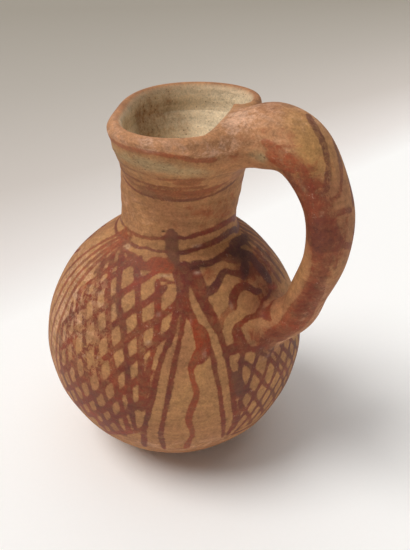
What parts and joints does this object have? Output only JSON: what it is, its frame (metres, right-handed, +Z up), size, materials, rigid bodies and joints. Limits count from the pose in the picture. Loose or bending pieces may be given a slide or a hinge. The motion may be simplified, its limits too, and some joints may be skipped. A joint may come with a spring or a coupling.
{
  "type": "pitcher",
  "caption": "Small hand-built earthenware pitcher with a round painted body, a waisted neck, a pinched oval mouth and one thick loop handle from lip to shoulder.",
  "frame": {"origin": "centre of the flat foot that the pitcher stands on", "axes": "+Z up, +X towards the handle"},
  "size_m": [0.1202, 0.1034, 0.1434],
  "materials": {
    "body_clay": "matt fired buff clay with red-brown painted lines",
    "lip_clay": "matt fired clay with an orange-red band",
    "handle_clay": "matt fired clay with red-brown stripes",
    "luting_clay": "matt fired clay with a pale crust"
  },
  "bodies": {
    "root": {"floor_pad": "body_clay", "lower_bowl": "body_clay", "shoulder_dome": "body_clay", "neck_collar": "body_clay", "lip_roll": "lip_clay", "handle_roll": "handle_clay", "handle_saddle": "luting_clay", "foot_luting": "luting_clay"}
  },
  "joints": []
}
